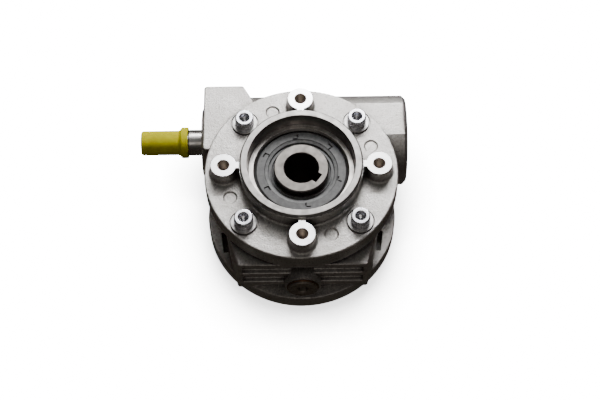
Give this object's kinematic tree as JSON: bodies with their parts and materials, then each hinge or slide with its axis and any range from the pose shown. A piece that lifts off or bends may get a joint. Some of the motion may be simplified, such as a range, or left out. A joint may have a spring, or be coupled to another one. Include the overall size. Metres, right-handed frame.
{
  "type": "worm gearbox",
  "caption": "Right-angle worm gearbox with a keyed hollow output shaft, round flanges on both sides, a ribbed body with an oil plug, and a capped solid input shaft.",
  "frame": {"origin": "centre of the output bore, half way along it", "axes": "+Z along the output bore, out of the bolted cover; +X along the worm, from the input shaft to the closed end; +Y from the output axis to the worm"},
  "size_m": [0.2039, 0.1611, 0.1088],
  "materials": {
    "cast_aluminium": "cast and shot blasted, with turned pilot faces",
    "zinc_steel": "bright zinc plated",
    "seal_rubber": "moulded nitrile rubber",
    "spring_steel": "oiled spring steel",
    "coated_steel": "rubber coated pressed steel",
    "plug_steel": "phosphated steel",
    "copper": "copper",
    "ground_steel": "hardened and ground steel",
    "hub_steel": "turned steel",
    "bronze": "hobbed bronze",
    "bearing_steel": "ground bearing steel",
    "cage_steel": "pressed steel",
    "yellow_plastic": "soft polyethylene"
  },
  "bodies": {
    "gearcase": {"housing": "cast_aluminium", "side_cover": "cast_aluminium", "cover_screws": "zinc_steel", "cover_washers": "zinc_steel", "cover_oring": "seal_rubber", "bearing_shim": "spring_steel", "front_output_seal": "seal_rubber", "rear_output_seal": "seal_rubber", "input_seal": "seal_rubber", "seal_springs": "spring_steel", "input_circlip": "spring_steel", "end_circlip": "spring_steel", "end_cap": "coated_steel", "oil_plug": "plug_steel", "oil_plug_washer": "copper", "front_bearing_outer": "bearing_steel", "rear_bearing_outer": "bearing_steel", "input_bearing_outer": "bearing_steel", "end_bearing_outer": "bearing_steel"},
    "worm": {"worm_shaft": "ground_steel", "input_bearing_inner": "bearing_steel", "end_bearing_inner": "bearing_steel"},
    "output": {"output_hub": "hub_steel", "worm_wheel_rim": "bronze", "front_bearing_inner": "bearing_steel", "rear_bearing_inner": "bearing_steel"},
    "front_ball_set": {"front_bearing_balls": "bearing_steel", "front_bearing_cage": "cage_steel"},
    "rear_ball_set": {"rear_bearing_balls": "bearing_steel", "rear_bearing_cage": "cage_steel"},
    "input_ball_set": {"input_bearing_balls": "bearing_steel", "input_bearing_cage": "cage_steel"},
    "end_ball_set": {"end_bearing_balls": "bearing_steel", "end_bearing_cage": "cage_steel"},
    "cap": {"shaft_cap": "yellow_plastic"}
  },
  "joints": [
    {"name": "worm_spin", "type": "hinge", "parent": "gearcase", "child": "worm", "pos_m": [0, 0.05, 0], "axis": [1, 0, 0], "continuous": true},
    {"name": "output_spin", "type": "hinge", "parent": "gearcase", "child": "output", "pos_m": [0, 0, 0], "axis": [0, 0, 1], "continuous": true},
    {"name": "front_balls_spin", "type": "hinge", "parent": "gearcase", "child": "front_ball_set", "pos_m": [0, 0, 0.0175], "axis": [0, 0, 1], "continuous": true},
    {"name": "rear_balls_spin", "type": "hinge", "parent": "gearcase", "child": "rear_ball_set", "pos_m": [0, 0, -0.0175], "axis": [0, 0, 1], "continuous": true},
    {"name": "input_balls_spin", "type": "hinge", "parent": "gearcase", "child": "input_ball_set", "pos_m": [-0.0604, 0.05, 0], "axis": [1, 0, 0], "continuous": true},
    {"name": "end_balls_spin", "type": "hinge", "parent": "gearcase", "child": "end_ball_set", "pos_m": [0.06525, 0.05, 0], "axis": [1, 0, 0], "continuous": true},
    {"name": "cap_pull", "type": "slide", "parent": "worm", "child": "cap", "axis": [-1, 0, 0], "range_m": [0, 0.045]}
  ],
  "couplings": [
    {"joint": "output_spin", "follows": "worm_spin", "ratio": 0.033333},
    {"joint": "front_balls_spin", "follows": "worm_spin", "ratio": 0.014228},
    {"joint": "rear_balls_spin", "follows": "worm_spin", "ratio": 0.014228},
    {"joint": "input_balls_spin", "follows": "worm_spin", "ratio": 0.39839},
    {"joint": "end_balls_spin", "follows": "worm_spin", "ratio": 0.39839}
  ]
}
